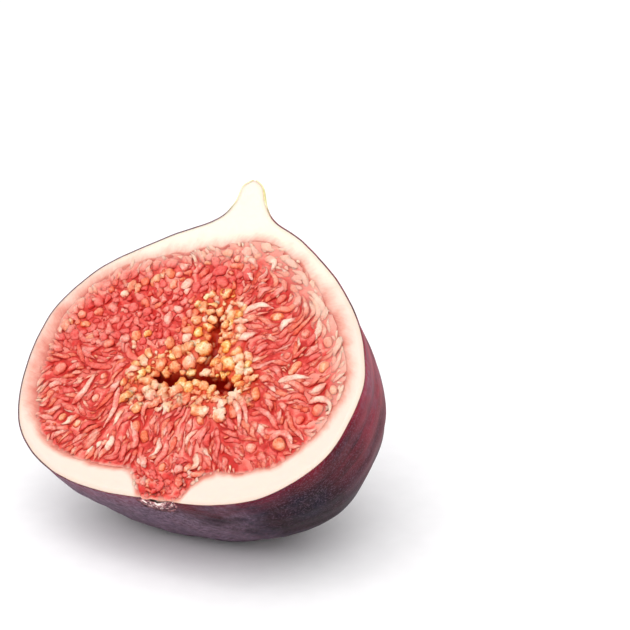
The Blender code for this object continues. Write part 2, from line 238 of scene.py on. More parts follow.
def pulp_reach(angles):
    """Distance from the pulp's centre to its edge at each angle, the canal to the eye included."""
    plain = np.interp(angles, OUTLINE_ANGLES, OUTLINE_REACH, period=TAU)
    off_axis, down = np.abs(np.cos(angles)), np.maximum(-np.sin(angles), 1e-6)
    side = (CANAL_AT_EYE + CANAL_FLARE * PULP_CENTRE[1]) / (off_axis + CANAL_FLARE * down)
    canal = np.where(np.sin(angles) < 0, np.minimum(side, (PULP_CENTRE[1] - CANAL_END) / down), 0)
    return CORNER * np.logaddexp(plain / CORNER, canal / CORNER)


def edge_distance(places):
    """How far inside the pulp's edge each place on the face lies, negative outside."""
    x, y = places[..., 0] - PULP_CENTRE[0], places[..., 1] - PULP_CENTRE[1]
    return pulp_reach(np.arctan2(y, x)) - np.hypot(x, y)


def hollow_distance(places):
    """Distance of each place from the arms of the hollow at the fig's heart."""
    flat = places[..., :2]
    nearest = np.full(flat.shape[:-1], np.inf)
    for start, end in HOLLOW_ARMS:
        run = end - start
        share = np.clip((flat - start) @ run / (run @ run), 0, 1)
        nearest = np.minimum(nearest, np.linalg.norm(flat - start - share[..., None] * run, axis=-1))
    return nearest


def bowl_sink(places):
    """How deep the shallow bowl round the hollow is at each place."""
    return BOWL_DEPTH * (1 - smooth(hollow_distance(places), 0.5, BOWL_REACH))


def hollow_sink(places):
    """How deep the hollow is at each place: its bowl, and the ragged crevices that split it."""
    flat = places[..., :2]
    # The crevices' edges wander by 0.4 mm in waves 2.4 mm long, and stand 0.8 mm wider round the pit.
    away = hollow_distance(flat) + 0.4 * ripple(flat, 2.4, 14)
    away -= 0.8 * np.exp(-((flat - PIT) ** 2).sum(axis=-1) / 2)
    # The upper arm is not half as deep as the lower two.
    lower = 0.45 + 0.55 * smooth(23.5 - flat[..., 1], 0, 2)
    return bowl_sink(places) + lower * (HOLLOW_DEPTH - BOWL_DEPTH) * (1 - smooth(away, 0, CREVICE))


# ---------------- meshes


def add_piece(name, points, faces, material, node, level=0.0, **marks):
    """A smooth mesh in a node's place from fig-frame points, each mark a number or a vector per point."""
    mesh = bpy.data.meshes.new(name)
    mesh.from_pydata(fruit_to_table(points, level).tolist(), [], faces)
    mesh.materials.append(material)
    mesh.shade_smooth()
    for mark, values in marks.items():
        values = np.asarray(values, np.float32)
        wide = values.ndim == 2
        layer = mesh.attributes.new(mark, "FLOAT_VECTOR" if wide else "FLOAT", "POINT")
        layer.data.foreach_set("vector" if wide else "value", values.ravel())
    piece = bpy.data.objects.new(name, mesh)
    bpy.context.scene.collection.objects.link(piece)
    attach(piece, "root")
    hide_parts(node)


def grid_faces(rows, columns, start=0, closed=False, flip=False):
    """Quads of a grid of points numbered row by row, its last column joined to the first when closed."""
    across = columns if closed else columns - 1
    row, column = np.meshgrid(np.arange(rows - 1), np.arange(across), indexing="ij")
    a = start + row * columns + column
    b = start + row * columns + (column + 1) % columns
    quads = np.stack([a, b, b + columns, a + columns], axis=-1).reshape(-1, 4)
    return (quads[:, ::-1] if flip else quads).tolist()


def shell_faces(rows, columns, start=0):
    """Faces of a thin closed shell: the points of its front row by row, then those of its back."""
    size = rows * columns
    corner = np.arange(size).reshape(rows, columns) + start
    loop = [*corner[0, :-1], *corner[:-1, -1], *corner[-1, :0:-1], *corner[:0:-1, 0]]
    rim = [(int(b), int(a), int(a) + size, int(b) + size) for a, b in zip(loop, [*loop[1:], loop[0]])]
    return grid_faces(rows, columns, start) + grid_faces(rows, columns, start + size, flip=True) + rim


# ---------------- the peel

PEEL_ROWS, PEEL_COLUMNS = 190, 130
EYE_ALONG = 0.034  # where the eye's edge lies between eye and tip
TIP_ALONG = 0.98  # the stalk's end is blunt


def skin_grid(inset, rows=PEEL_ROWS, columns=PEEL_COLUMNS):
    """The skin's surface inset millimetres under its outside, with its ribs and small dents."""
    spans = np.linspace(EYE_ALONG, TIP_ALONG, rows), np.linspace(0, math.pi, columns)
    along, around = np.meshgrid(*spans, indexing="ij")
    swell = np.sin(math.pi * along)
    # Two sets of broad ribs run into each other, with wandering fine ones 0.07 mm high between them.
    ribs = RIB_HEIGHT * swell**2 * (np.cos(9 * around) + np.cos(13 * around + 1))
    fine = 0.07 * swell * np.cos(37 * around + 4 * np.sin(6 * along))
    points = body(along, around)
    dents = 0.08 * ripple(points, 9, 3) + 0.03 * ripple(points, 3.5, 4)  # 9 mm and 3.5 mm long
    points = points + outward(along, around) * (ribs + fine + dents - inset)[..., None]
    points[:, (0, -1), 2] = 0
    return points, along, around


def add_peel(material):
    """The peel as a thin closed shell, open at the eye."""
    outer, along, around = skin_grid(0)
    inner, _, _ = skin_grid(PEEL)
    spread = np.stack([around / math.pi * FRUIT_GIRTH, along * FRUIT_LENGTH, -outer[..., 2]], axis=-1)
    spread = spread.reshape(-1, 3)
    add_piece(
        "peel", np.concatenate([outer.reshape(-1, 3), inner.reshape(-1, 3)]),
        shell_faces(*along.shape), material, "skin", skin_mm=np.concatenate([spread, spread]),
        inner=np.repeat([0, 1], len(spread)),
    )


# ---------------- the flesh

FLESH_ROWS, FLESH_COLUMNS = 120, 70  # under the peel
FLESH_STEPS = 26  # from the peel to the pulp's edge on the cut
# Behind the cut the flesh turns in under the pulp: rings at these shares of its reach and these heights.
FLESH_LIP = ((0.985, -0.06), (0.965, -0.2), (0.94, -0.5), (0.9, -1.6), (0.8, -4.0), (0.4, -6.5))
FLESH_BOTTOM = -7.0
FLESH_LEVEL = 0.3  # the flesh keeps this far above the table, over its peel
PULP_RADIUS = 25.0  # about the pulp's reach: an angle times this is a length along its edge


def blush_width(places):
    """How far the pulp's pink runs into the flesh: furthest at the left and least low down."""
    x, y = places.T
    left = smooth(-x + 0.35 * (y - 24), 6, 22) * smooth(y, 10, 20)
    top = smooth(y, 26, 38)
    right = smooth(x, 12, 22) * smooth(y, 12, 22)
    return 0.45 + 0.2 * smooth(y, 8, 16) + 1.5 * left * (1 - 0.85 * top) + 0.4 * right + 0.6 * top


def fade(places):
    """How far florets and jelly have paled into the flesh: over 1 mm low down, 7 mm at the top right."""
    x, y = places[..., 0], places[..., 1]
    width = 1.0 + 1.0 * smooth(y, 10, 18) + 3.5 * smooth(y + x, 32, 50) + 1.5 * smooth(y, 30, 38)
    return 1 - smooth(edge_distance(places) / width, -0.2, 1)


def rim_distance(places, edge):
    """Distance of each place on the cut from the peel's edge."""
    fine = through(edge, np.linspace(0, 1, len(edge) * 6))
    return np.min([np.hypot(*(places - part).T) for part in fine], axis=0)


def add_flesh(material):
    """The cream wall with its cut face, and behind it the shallow bed in which the pulp lies."""
    back, _, _ = skin_grid(PEEL + 0.02, FLESH_ROWS, FLESH_COLUMNS)
    back = back.reshape(-1, 3)
    base = len(back)
    corner = np.arange(base).reshape(FLESH_ROWS, FLESH_COLUMNS)
    loop = np.concatenate([corner[:, 0], corner[::-1, -1]])
    edge = back[loop][:, :2]
    angles = np.arctan2(*(edge - PULP_CENTRE).T[::-1])
    ways, arc = toward(angles), np.unwrap(angles) * PULP_RADIUS
    run = np.linalg.norm(edge - PULP_CENTRE, axis=1)
    ragged = 0.3 * ripple(ways * PULP_RADIUS, 5, 5) + 0.2 * ripple(ways * PULP_RADIUS, 2, 7)
    reach = np.minimum(pulp_reach(angles) + ragged, run - 0.05)

    # The cut face, ring by ring from the peel in: the knife's drag left it swollen by up to 0.2 mm.
    rings, flows, pale = [], [], [np.zeros(base)]
    for share in np.linspace(1, 0, FLESH_STEPS + 1)[1:]:
        distance = reach + (run - reach) * share
        place = PULP_CENTRE + ways * distance[:, None]
        from_peel = rim_distance(place, edge)
        swell = np.clip(distance - reach, 0, 1) * 0.18 + 0.025 * ripple(place, 1.3, 6)
        rings.append(np.column_stack([place, swell * smooth(from_peel, 0, 0.9)]))
        paler = 0.3 * np.maximum(smooth(place[:, 1], 32, 40), smooth(place[:, 0], 8, 20))
        flows.append(np.column_stack([arc, (distance - reach) / blush_width(place) + paler, from_peel]))
        pale.append(smooth(place[:, 1], 30, 46))
    for share, height in FLESH_LIP:
        lip = PULP_CENTRE + ways * (reach * share)[:, None]
        rings.append(np.column_stack([lip, np.full(len(run), height)]))
        flows.append(np.column_stack([arc, reach * (share - 1) * 0.8, run - reach * share]))
    rings.append(np.array([[*PULP_CENTRE, FLESH_BOTTOM]]))
    flows.append(np.array([[0, -20, 40]]))
    points, pale = np.concatenate([back, *rings]), np.concatenate(pale)
    flow = np.zeros((base, 3))
    flow[:, 1] = 5
    flow[loop] = np.column_stack([arc, run - reach, np.zeros(len(run))])

    count, width = len(rings) - 1, len(loop)
    faces = grid_faces(FLESH_ROWS, FLESH_COLUMNS)
    faces += [tuple(corner[0, ::-1].tolist()), tuple(corner[-1].tolist())]
    for i in range(width):
        j = (i + 1) % width
        faces.append((int(loop[i]), int(loop[j]), base + j, base + i))
    faces += grid_faces(count, width, base, closed=True)
    last = base + (count - 1) * width
    faces += [(last + i, last + (i + 1) % width, base + count * width) for i in range(width)]
    add_piece(
        "cream_flesh", points, faces, material, "flesh", FLESH_LEVEL,
        cut_mm=np.concatenate([flow, *flows]), pale=np.pad(pale, (0, len(points) - len(pale))),
    )


# ---------------- where florets find room

CELL = 0.12  # millimetres from one cell of the map to the next
FIELD = np.stack(np.meshgrid(np.arange(-31, 29, CELL), np.arange(0, 48, CELL)), axis=-1)
ACROSS, UP = FIELD[..., 0], FIELD[..., 1]
FIELD_INSIDE = edge_distance(FIELD)
FIELD_HEART = hollow_distance(FIELD)
HEART = np.array([0.8, 22.5])  # the place that strands run to
STAMP = 20  # how many cells round each of its points a floret takes room in
BESIDE = 0.15  # how close to its neighbour a floret lies when it can
FLORET_GAP = 0.02  # of jelly between neighbours
TRACE_STEP = 0.22  # between the points of a track while it is traced


def flow_field(seeds):
    """At each cell the way strands run: from the flesh to the heart in slow swirls, and round the seeds."""
    out = FIELD - HEART
    inward = np.arctan2(-out[..., 1], -out[..., 0])
    # Swirls 10 mm and 4 mm long, a whorl low at the left, and a turn along the upper right rim.
    swirl = 0.6 * ripple(FIELD, 10, 21) + 0.7 * ripple(FIELD, 4, 22)
    swirl += 0.9 * np.exp(-(((ACROSS + 12) ** 2 + (UP - 15) ** 2) / 30))
    swirl += 1.2 * smooth(FIELD.sum(axis=-1), 32, 44) * (1 - smooth(FIELD_INSIDE, 2, 7))
    # In the canal they lean from its middle to both sides, like chevrons.
    canal = smooth(8.5 - UP, 0, 3) * smooth(8 - np.abs(ACROSS), 0, 2)
    chevron = math.pi / 2 - 0.9 * np.tanh(ACROSS / 1.5) + 0.5 * ripple(FIELD, 3, 23)
    run = toward(np.where(canal > 0.5, chevron, inward + swirl))
    # Within about a millimetre of a seed they part and pass it on both sides.
    for x, y, radius in seeds:
        away = FIELD - (x, y)
        distance = np.linalg.norm(away, axis=-1, keepdims=True) + 1e-6
        past = np.stack([-away[..., 1], away[..., 0]], axis=-1) / distance
        past *= np.sign((past * run).sum(axis=-1, keepdims=True))
        grip = np.exp(-((np.maximum(distance - radius, 0) / 1.1) ** 2))
        run = run * (1 - grip) + past * grip
    return np.arctan2(run[..., 1], run[..., 0])


def combed(flow, width, length, seed):
    """Noise drawn out along the flow, with waves width and length millimetres long and a spread of 1."""
    rng = np.random.default_rng(seed)
    waves = [np.fft.fftfreq(size, CELL) for size in flow.shape]
    fine = np.hypot(*np.meshgrid(*waves, indexing="ij")) * width
    grain = np.fft.ifft2(np.fft.fft2(rng.normal(size=flow.shape)) * np.exp(-(fine**2) * 2)).real
    total = grain.copy()
    for way in (-1, 1):
        row, column = np.indices(flow.shape).astype(float)
        for _ in range(int(length / CELL / 2)):
            turn = flow[row.astype(int), column.astype(int)]
            row = np.clip(row + way * np.sin(turn), 0, flow.shape[0] - 1)
            column = np.clip(column + way * np.cos(turn), 0, flow.shape[1] - 1)
            total += grain[row.astype(int), column.astype(int)]
    return total / total.std()


def field_at(values, places):
    """A field's values at places, by the nearest cells between which they lie."""
    at = np.clip((places[..., :2] - FIELD[0, 0]) / CELL, 0, np.array(FIELD.shape[1::-1]) - 1.001)
    column, row = at[..., 0].astype(int), at[..., 1].astype(int)
    right, up = at[..., 0] - column, at[..., 1] - row
    low = values[row, column] * (1 - right) + values[row, column + 1] * right
    high = values[row + 1, column] * (1 - right) + values[row + 1, column + 1] * right
    return low * (1 - up) + high * up


# At the upper left the florets are seen end on.
END_ON = (
    (ACROSS < 3.5 + 0.1 * (UP - 30))
    & (UP > 24.5 - 0.1 * ACROSS + 1.2 * ripple(FIELD, 9, 24))
    & (FIELD_INSIDE > 1.6 + 0.9 * ripple(FIELD, 5, 26))
)
CANAL = (UP < 8.0 - 0.25 * np.abs(ACROSS)) & (np.abs(ACROSS) < 8)
BELOW_HEART = (FIELD_HEART < 5.5) & (UP < 19.8) & ~CANAL


def cell_of(place):
    """The field's row and column at a place."""
    column, row = (place - FIELD[0, 0]) / CELL
    return min(max(int(row), 0), FIELD.shape[0] - 1), min(max(int(column), 0), FIELD.shape[1] - 1)


def take_room(room, spots, widths):
    """Lowers the room that is left round the spots of a floret."""
    for spot, width in zip(spots, widths):
        row, column = cell_of(spot)
        rows = slice(max(row - STAMP, 0), row + STAMP + 1)
        columns = slice(max(column - STAMP, 0), column + STAMP + 1)
        away = np.hypot(ACROSS[rows, columns] - spot[0], UP[rows, columns] - spot[1]) - width
        np.minimum(room[rows, columns], away, out=room[rows, columns])


def nestle(rng, room, where, radius):
    """A random place with room for a radius, beside a floret that is there already if it can be."""
    fits = where & (room > radius)
    beside = fits & (room < radius + BESIDE)
    choice = np.flatnonzero(beside if beside.any() else fits)
    if not len(choice):
        return None
    return FIELD.reshape(-1, 2)[rng.choice(choice)] + rng.uniform(-CELL, CELL, 2) / 2


def follow(flow, room, start, width, length):
    """A track through start along the flow, as long as a strand of this half width finds room."""
    track = [start]
    for way, share in ((1, 0.4), (-1, 0.6)):
        place, steps = start, int(length * share / TRACE_STEP)
        for _ in range(steps):
            turn = flow[cell_of(place)]
            place = place + way * TRACE_STEP * np.array([math.cos(turn), math.sin(turn)])
            if room[cell_of(place)] < width:
                break
            track = [*track, place] if way > 0 else [place, *track]
    return np.array(track)


# ---------------- the pulp under its florets

JELLY_LEVEL = -0.07  # a little under the cut face
BED_ROWS, BED_COLUMNS = 150, 640
BED_WALL, BED_BOTTOM = -3.0, -6.8  # heights of its lower edge and of its lowest point


def jelly_height(places, fibres):
    """The jelly between the florets: combed into ridges, sunk at the heart and crumpled in the canal."""
    flat = places[..., :2]
    rough = 0.12 * np.tanh(field_at(fibres, flat)) + 0.05 * ripple(flat, 0.8, 9)
    canal = smooth(7 - flat[..., 1], 0, 4) * (np.abs(flat[..., 0]) < 9)
    crumple = canal * 0.45 * ripple(flat, 2.2, 10)
    return JELLY_LEVEL + rough + crumple - hollow_sink(flat)


def add_bed(material, fibres):
    """The wet jelly as one closed body from which the florets stand out."""
    angles = np.linspace(-math.pi, math.pi, BED_COLUMNS, endpoint=False)
    shares = np.linspace(1, 0, BED_ROWS, endpoint=False) ** 0.8
    reach = pulp_reach(angles) - 0.1
    places = PULP_CENTRE + shares[:, None, None] * reach[None, :, None] * toward(angles)[None]
    top = np.concatenate([places, jelly_height(places, fibres)[..., None]], axis=-1).reshape(-1, 3)
    wall = PULP_CENTRE + toward(angles) * reach[:, None] * 0.93
    wall = np.column_stack([wall, np.full(BED_COLUMNS, BED_WALL)])
    middle = np.array([[*PULP_CENTRE, jelly_height(PULP_CENTRE[None], fibres)[0]]])
    points = np.concatenate([top, middle, wall, [[*PULP_CENTRE, BED_BOTTOM]]])
    faces = grid_faces(BED_ROWS, BED_COLUMNS, closed=True)
    last, centre = (BED_ROWS - 1) * BED_COLUMNS, BED_ROWS * BED_COLUMNS
    low = centre + 1
    for i in range(BED_COLUMNS):
        j = (i + 1) % BED_COLUMNS
        faces.append((last + i, last + j, centre))
        faces.append((low + i, low + j, j, i))
        faces.append((low + j, low + i, low + BED_COLUMNS))
    add_piece(
        "pulp_jelly", points, faces, material, "pulp", fibre=field_at(fibres, points),
        sunk=np.clip(-points[:, 2] / HOLLOW_DEPTH, 0, 1),
        warm=1 - smooth(hollow_distance(points), 1, 7), rim=fade(points),
    )


# ---------------- the florets

RINGS, SIDES = 13, 12
# Round a floret, most of its points lie on the side that shows.
TURNS = np.concatenate([np.linspace(-0.3, math.pi + 0.3, 9), math.pi * np.array([1.3, 1.5, 1.7])])
STEPS = np.linspace(0, 1, RINGS)
# Widths along a floret: a round head, a drop with its thick end last, and a flame. DROOP is its arch.
BULB = np.maximum(np.sin(math.pi * STEPS), 0) ** 0.85 + 0.05
DROP = (STEPS**0.75) * np.sqrt(np.clip(1 - STEPS**5, 0.02, 1)) * 1.2 + 0.06
FLAME = np.sin(math.pi * np.clip(STEPS, 0.05, 0.95)) ** 0.6
DROOP = 4 * STEPS * (1 - STEPS)
END_REACH = 0.4  # how far its end points stand off its last rings, against their width
# How near each of its points is to the crest of its back; the two end points come last.
CREST = np.outer(np.sin(math.pi * np.clip(STEPS, 0.04, 0.96)) ** 0.45, np.clip(np.sin(TURNS), 0, 1) ** 0.7)
CREST = np.append(CREST, [0, 0])
# Where a floret stands lower than this over the jelly its colour turns red: partly its juice, partly
# painted shade in the crease.
CREASE = 0.25  # how far above the jelly a floret's colour has reached that of its back
RIM_SINK = 0.3  # how far florets dip where they reach past the pulp's edge
HEART_GLOW = 0.52  # how orange a floret is beside the hollow, at least
DROP_SHARE, FLAME_SHARE = 0.35, 0.6  # of heads that are drops, and of strands that are flames
MOST_FAILURES = 300  # strands that may come out too short before their layer is full


def resample(track):
    """A track as RINGS points at even distances."""
    run = np.concatenate([[0], np.cumsum(np.linalg.norm(np.diff(track, axis=0), axis=1))])
    at = STEPS * run[-1]
    return np.column_stack([np.interp(at, run, track[:, 0]), np.interp(at, run, track[:, 1])])


def floret_faces(count):
    """Faces of count closed tubes, each with its rings and then its two end points."""
    each = RINGS * SIDES + 2
    one = grid_faces(RINGS, SIDES, closed=True, flip=True)
    last = (RINGS - 1) * SIDES
    ends = []
    for i in range(SIDES):
        j = (i + 1) % SIDES
        ends.append((i, j, each - 2))
        ends.append((last + j, last + i, each - 1))
    shift = each * np.arange(count)[:, None, None]
    quads, triangles = np.array(one) + shift, np.array(ends) + shift
    return quads.reshape(-1, 4).tolist() + triangles.reshape(-1, 3).tolist()


def floret_points(tracks, heights, widths, flatness, lumps):
    """Points of closed tubes along tracks: rings, flattened and lumpy, and then the two end points."""
    paths = np.concatenate([tracks, heights[..., None]], axis=-1)
    ahead = np.gradient(paths, axis=1)
    ahead /= np.linalg.norm(ahead, axis=-1, keepdims=True) + 1e-9
    beside = np.cross(np.array([0, 0, 1.0]), ahead)
    beside /= np.linalg.norm(beside, axis=-1, keepdims=True) + 1e-9
    over = np.cross(ahead, beside)
    rise = flatness * np.sin(TURNS)[:, None]
    ring = beside[:, :, None] * np.cos(TURNS)[:, None] + over[:, :, None] * rise
    points = paths[:, :, None] + ring * widths[:, :, None, None]
    swell = lumps * ripple(points, 1.3, 12) + 0.6 * lumps * ripple(points, 0.5, 13)
    points = points + ring * (swell * widths[:, :, None])[..., None]
    reach = widths[:, (0, -1), None] * END_REACH
    first = paths[:, :1] - ahead[:, :1] * reach[:, :1]
    last = paths[:, -1:] + ahead[:, -1:] * reach[:, 1:]
    return np.concatenate([points.reshape(len(tracks), -1, 3), first, last], axis=1)


def add_florets(name, florets, tones, warmth, coarse, fine, material, flatness=0.6, lumps=0.2):
    """Florets as closed tubes along their tracks: florets is a list of (track, heights, widths)."""
    tracks, heights, widths = (np.array(part) for part in zip(*florets))
    heights = heights - bowl_sink(tracks) - RIM_SINK * smooth(-edge_distance(tracks), 0, 1)
    points = floret_points(tracks, heights, widths, flatness, lumps)
    count, each = points.shape[:2]
    flat = points.reshape(-1, 3)
    # Painted shade: near the jelly the crest mark is cut down, so the colour reddens there.
    proud = np.clip((flat[:, 2] - jelly_height(flat, coarse)) / CREASE, 0, 1)
    tones = np.repeat(tones, each) + 0.4 * ripple(flat[:, :2], 7, 31) + 0.25 * ripple(flat[:, :2], 2.5, 32)
    glow = HEART_GLOW * (1 - smooth(hollow_distance(flat), 1, 6.5))
    add_piece(
        name, flat, floret_faces(count), material, "pulp",
        crest=np.minimum(np.tile(CREST, count), proud), fibre=field_at(fine, flat), tone=tones,
        warm=np.maximum(np.repeat(warmth, each), glow),
        sunk=np.clip(-(flat[:, 2] + bowl_sink(flat)) / HOLLOW_DEPTH, 0, 1), rim=fade(flat),
    )


def bulb(rng, place, radius, turn, level, shape=BULB):
    """A round head or seed: a short closed tube."""
    half = radius * rng.uniform(1.0, 1.8)
    track = place - np.cos(math.pi * STEPS)[:, None] * half * toward(turn)
    lift = level + rng.normal(0, 0.2) * (STEPS - 0.5)
    return track, lift, radius * shape


def place_bulbs(rng, flow, room, where, radii, most, level, lap=0.9, spread=0.15, gap=FLORET_GAP):
    """Round heads, laid beside each other until none fits; a lap below 1 lets them overlap."""
    placed = []
    while len(placed) < most:
        radius = rng.uniform(*radii)
        place = nestle(rng, room, where, radius * lap)
        if place is None:
            break
        height = level + rng.uniform(-spread, spread)
        shape = DROP if rng.uniform() < DROP_SHARE else BULB
        placed.append(bulb(rng, place, radius, flow[cell_of(place)] + rng.normal(0, 0.8), height, shape))
        take_room(room, placed[-1][0], radius * BULB + gap)
    return placed


def place_strands(rng, flow, room, where, halves, lengths, level, lap=0.8, gap=FLORET_GAP, most=900):
    """Strands that follow the flow between their neighbours, some with a thick head."""
    placed, failures = [], 0
    open_cells = where.copy()
    while failures < MOST_FAILURES and len(placed) < most:
        width = rng.uniform(*halves)
        start = nestle(rng, room, open_cells, width * lap)
        if start is None:
            break
        track = follow(flow, room, start, width * lap, rng.uniform(*lengths) * 1.1)
        if len(track) * TRACE_STEP < lengths[0]:
            failures += 1
            row, column = cell_of(start)
            open_cells[max(row - 1, 0) : row + 2, max(column - 1, 0) : column + 2] = False
            continue
        shape = FLAME if rng.uniform() < FLAME_SHARE else DROP
        track = resample(track)
        wave = rng.uniform(0.0, 0.2) * DROOP + rng.normal(0, 0.2) * (STEPS - 0.5)
        placed.append((track, level + rng.uniform(-0.12, 0.12) + wave, width * shape))
        take_room(room, track, width * shape + gap)
    return placed


def add_pulp(jelly, material):
    """The jelly and every floret, large ones first so that the small ones fill what is left."""
    rng = np.random.default_rng(11)
    # The edge is ragged, 1 mm stays free before the eye, and nothing grows in the crevices or the pit.
    ragged = (0.4 + 0.5 * smooth(UP, 28, 38)) * ripple(FIELD, 1.8, 25)
    room = np.minimum(FIELD_INSIDE + ragged, UP - 1.05)
    room[(FIELD_HEART < 0.95) | (np.linalg.norm(FIELD - PIT, axis=-1) < 1.7)] = -1
    side_on = ~END_ON & ~CANAL & ~BELOW_HEART & (FIELD_HEART > 2.8)
    heart = (FIELD_HEART < 4.6) & ~BELOW_HEART & (FIELD_HEART > 0.9)
    flow = flow_field(SEEDS)
    coarse, fine = combed(flow, 0.7, 3.5, 41), combed(flow, 0.3, 2.0, 42)
    add_bed(jelly, coarse)

    def heads(where, radii, inside=room, **how):
        """Heads for one part of the pulp."""
        return place_bulbs(rng, flow, inside, where, radii, **how)

    def strands(where, halves, lengths, inside=room, **how):
        """Strands for one part of the pulp."""
        return place_strands(rng, flow, inside, where, halves, lengths, **how)

    def lay(name, florets, tone, warmth, **shape):
        """Adds florets as one piece, with how pale and how orange each is drawn between two ends."""
        count = len(florets)
        tones, warmths = rng.uniform(*tone, count), rng.uniform(*warmth, count)
        add_florets(name, florets, tones, warmths, coarse, fine, material, **shape)

    laid = []
    for x, y, radius in SEEDS:
        laid.append(bulb(rng, np.array([x, y]), radius, rng.uniform(0, TAU), -0.12))
        take_room(room, laid[-1][0], radius * BULB)
    lay("seeds", laid, (0.0, 0.7), (0.05, 0.45), flatness=0.65, lumps=0.12)

    # The palest florets take room only in the upper layer, which they share with the pale strands.
    upper_room = room - 0.2  # and stay that far from the seeds and the edge
    laid = []
    for points in PALE_FLORETS:
        track = resample(through(np.array(points), np.linspace(0, 1, 30)))
        width = rng.uniform(0.6, 0.75) * (DROP[::-1] if len(points) > 2 else BULB)
        laid.append((track, 0.05 + 0.1 * DROOP, width))
        take_room(upper_room, track, width + 0.2)
    lay("palest_florets", laid, (1.15, 1.4), (-0.5, -0.2), flatness=0.55)

    globes = np.array(HEART_GLOBES)
    pale, orange = globes[:, 3:].T
    laid = [bulb(rng, globe[:2], globe[2], rng.uniform(0, TAU), 0.0) for globe in globes]
    for track, _, width in laid:
        take_room(room, track, width - 0.1)
    add_florets("heart_globes", laid, pale, orange, coarse, fine, material, flatness=0.8, lumps=0.35)

    laid = heads(heart, (0.5, 0.85), most=140, level=-0.1, lap=0.6, spread=0.2)
    laid += heads(heart, (0.28, 0.5), most=260, level=-0.1, lap=0.6, spread=0.2)
    lay("heart_lumps", laid, (0.1, 1.4), (0.3, 0.95), flatness=0.7, lumps=0.5)
    # On the hollow's walls, 1.5 mm down, they find room whatever lies above them.
    walls = (FIELD_HEART > 0.8) & (FIELD_HEART < 1.4)
    free = np.full(room.shape, 9.0)
    laid = heads(walls, (0.4, 0.75), inside=free, most=22, level=-1.5, lap=0.9, spread=0.3)
    lay("wall_globes", laid, (0.1, 0.8), (0.6, 1), flatness=0.9, lumps=0.22)

    laid = heads(BELOW_HEART, (0.55, 0.95), most=140, level=0.0, lap=0.5, spread=0.2)
    laid += heads(BELOW_HEART, (0.25, 0.5), most=380, level=0.1, lap=0.6, spread=0.2)
    lay("heart_crumbs", laid, (0.2, 1.2), (0.1, 0.65), flatness=0.5, lumps=0.7)

    laid = heads(END_ON, (0.4, 0.8), most=280, level=-0.1, lap=0.7, gap=0.05)
    lay("end_on_heads", laid, (-0.8, 1.0), (-0.6, 0.4), flatness=0.7, lumps=0.35)
    laid = heads(END_ON, (0.25, 0.4), most=500, level=-0.08, lap=0.8, spread=0.12)
    lay("small_end_on_heads", laid, (-0.9, 0.6), (-0.8, 0.2), flatness=0.7, lumps=0.32)

    laid = strands(side_on, (0.42, 0.62), (2.5, 6.5), level=-0.12, lap=0.75)
    laid += strands(side_on, (0.28, 0.42), (1.4, 4.0), level=-0.12, lap=0.75)
    lay("red_strands", laid, (-0.2, 0.5), (0, 0.2), flatness=0.55)
    laid = strands(side_on, (0.42, 0.62), (2.8, 8.0), inside=upper_room, level=-0.06, lap=0.9, gap=0.17)
    laid += strands(side_on, (0.26, 0.42), (1.6, 5.0), inside=upper_room, level=-0.04, lap=0.9, gap=0.15)
    lay("pale_strands", laid, (0.0, 1.35), (-0.3, 0.2), flatness=0.45, lumps=0.3)

    laid = heads(CANAL, (0.4, 0.7), most=80, level=-0.1, lap=0.6, spread=0.3)
    laid += heads(CANAL, (0.2, 0.4), most=200, level=0.0, lap=0.6, spread=0.3)
    lay("canal_flaps", laid, (-0.8, 1.1), (-0.4, 0.2), flatness=0.5, lumps=0.7)

    laid = strands(FIELD_INSIDE > -1, (0.16, 0.26), (0.9, 3.0), level=-0.07, lap=0.9)
    lay("fine_strands", laid, (0, 0.9), (0, 0.3), flatness=0.7)


# ---------------- the eye

# Rows of scales: how far their middles lie from the eye's centre, how many there are, how proud they stand.
SCALE_ROWS = ((0.9, 3, 0.5), (2.0, 5, 0.25), (3.0, 7, 0.0))
SCALE_POINTS = 9, 7  # along and across each scale
SCALE_THICKNESS = 0.25
EYE_LEVEL = 0.62  # how far the scales' roots stand in from the eye, toward the stalk


def add_eye(material):
    """Small dry scales that close the eye: pointed leaves that lap inwards over each other."""
    rng = np.random.default_rng(5)
    points, faces = [], []
    rows, columns = SCALE_POINTS
    length, across = np.meshgrid(np.linspace(0, 1, rows), np.linspace(-1, 1, columns), indexing="ij")
    taper = np.sqrt(np.clip(1 - length**2.2, 0.002, 1))
    curl = 0.5 * length**3 + 0.25 * (1 - across**2)
    for away, count, proud in SCALE_ROWS:
        half = 0.62 * math.pi * (away + 0.6) / count
        for i in range(count):
            turn = math.pi * (i + 0.5) / count + rng.uniform(-0.12, 0.12)
            outer = away + rng.uniform(0.6, 0.9)
            inner = max(away - rng.uniform(0.9, 1.3), 0.0)
            radius = outer + (inner - outer) * length
            side = half * across * taper
            x = radius * math.cos(turn) - side * math.sin(turn)
            y = EYE_LEVEL - proud * 0.6 - curl * 0.5 + 0.05 * rng.normal(size=x.shape)
            z = np.minimum(-radius * math.sin(turn) - side * math.cos(turn), -0.02)
            faces += shell_faces(rows, columns, len(points) * length.size)
            front = np.stack([x, y, z], axis=-1).reshape(-1, 3)
            points += [front, front + (0, SCALE_THICKNESS, 0)]
    add_piece(
        "eye_scales_dry", np.concatenate(points), faces, material, "eye_scales",
        dryness=np.tile(length.ravel(), len(points)),
    )


# ---------------- materials


def colour(code):
    """An sRGB hex code as linear RGBA."""
    parts = [int(code[i : i + 2], 16) / 255 for i in (1, 3, 5)]
    return (*(p / 12.92 if p <= 0.04045 else ((p + 0.055) / 1.055) ** 2.4 for p in parts), 1)


